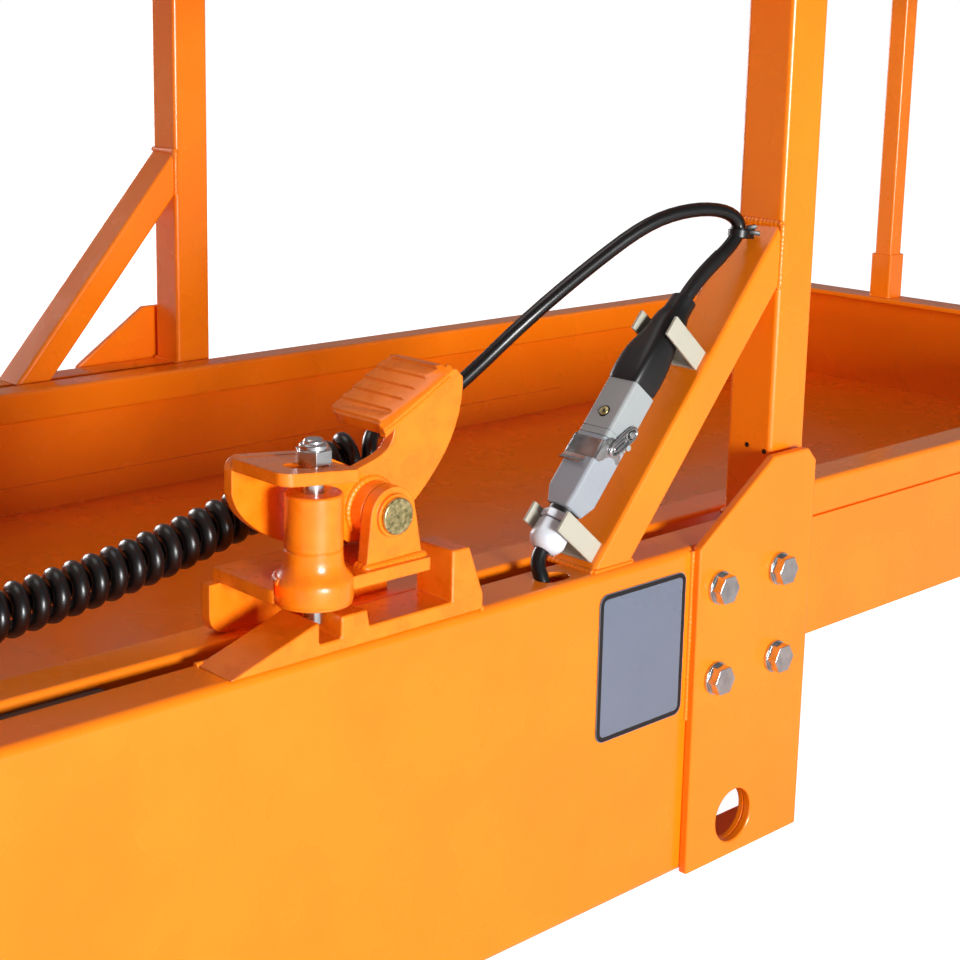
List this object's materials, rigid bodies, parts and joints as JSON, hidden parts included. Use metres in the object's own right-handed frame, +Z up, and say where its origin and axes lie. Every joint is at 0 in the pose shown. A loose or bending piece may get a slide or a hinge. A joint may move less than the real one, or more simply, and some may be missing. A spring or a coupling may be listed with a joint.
{
  "type": "scissor lift work platform with sliding extension and pedal latch",
  "caption": "Scissor lift platform: guarded main deck with a sliding extension deck, foot pedal latch, rear gate and a plugged coiled control cord.",
  "frame": {"origin": "middle of the platform's footprint, with the extension out, on the plane its lower flanges rest on", "axes": "+X along the platform towards the extension's nose, +Y across it to the far side, +Z up"},
  "size_m": [2.65, 0.842, 1.209],
  "materials": {
    "painted": "gloss",
    "zinc": "zinc plated",
    "yellow_zinc": "yellow zinc plated",
    "connector_grey": "satin",
    "clip_plastic": "satin",
    "gland_plastic": "satin",
    "black_rubber": "satin",
    "slide_plastic": "matt",
    "box_grey": "satin",
    "sign_face": "printed satin"
  },
  "bodies": {
    "main_deck": {"side_panel_near": "painted", "side_panel_far": "painted", "corner_plate_near": "painted", "corner_plate_far": "painted", "main_floor": "painted", "cross_members": "painted", "rear_toe_board": "painted", "front_post_near": "painted", "front_post_far": "painted", "post_brace_near": "painted", "post_brace_far": "painted", "guard_rails_near": "painted", "guard_rails_far": "painted", "rear_posts": "painted", "gate_post": "painted", "rear_rails": "painted", "gate_jamb": "painted", "latch_racks": "painted", "control_bracket": "painted", "corner_bolts_near": "zinc", "corner_bolts_far": "zinc", "gate_hinge_pins": "zinc", "connector_latch": "zinc", "connector_housing": "connector_grey", "connector_hood": "connector_grey", "connector_clips": "clip_plastic", "cable_gland": "gland_plastic", "connector_boot": "black_rubber", "control_cable": "black_rubber", "coil_cord": "black_rubber", "control_tail": "black_rubber", "supply_cable": "black_rubber", "control_gland": "black_rubber", "supply_outlet": "black_rubber", "cable_tie": "black_rubber", "slide_pads": "slide_plastic", "control_box": "box_grey", "sign_plate": "sign_face"},
    "extension": {"extension_rail_near": "painted", "extension_rail_far": "painted", "extension_skirt_near": "painted", "extension_skirt_far": "painted", "extension_floor": "painted", "nose_board": "painted", "extension_posts": "painted", "extension_guard_near": "painted", "extension_guard_far": "painted", "nose_guard": "painted", "nose_sockets": "painted", "nose_posts": "painted", "latch_bracket": "painted", "pivot_pin": "yellow_zinc", "rear_sliders": "slide_plastic"},
    "pedal": {"pedal": "painted"},
    "lock": {"locking_pin": "zinc"},
    "gate": {"gate_stiles": "painted", "gate_rails": "painted", "gate_knuckles": "painted"}
  },
  "joints": [
    {"name": "extension_slide", "type": "slide", "parent": "main_deck", "child": "extension", "axis": [1, 0, 0], "range_m": [-0.9, 0]},
    {"name": "pedal_hinge", "type": "hinge", "parent": "extension", "child": "pedal", "pos_m": [-0.04, -0.37, 0.312], "axis": [0, 1, 0], "range_deg": [0, 12], "stiffness_Nm_per_rad": 10, "springref_deg": -11.46},
    {"name": "lock_slide", "type": "slide", "parent": "extension", "child": "lock", "axis": [0, 0, 1], "range_m": [0, 0.0165]},
    {"name": "gate_hinge", "type": "hinge", "parent": "main_deck", "child": "gate", "pos_m": [-1.268, -0.125, 0.7], "axis": [0, 0, -1], "range_deg": [0, 90], "stiffness_Nm_per_rad": 2, "springref_deg": -17.19}
  ],
  "couplings": [
    {"joint": "lock_slide", "follows": "pedal_hinge", "m_per_rad": 0.0765}
  ]
}
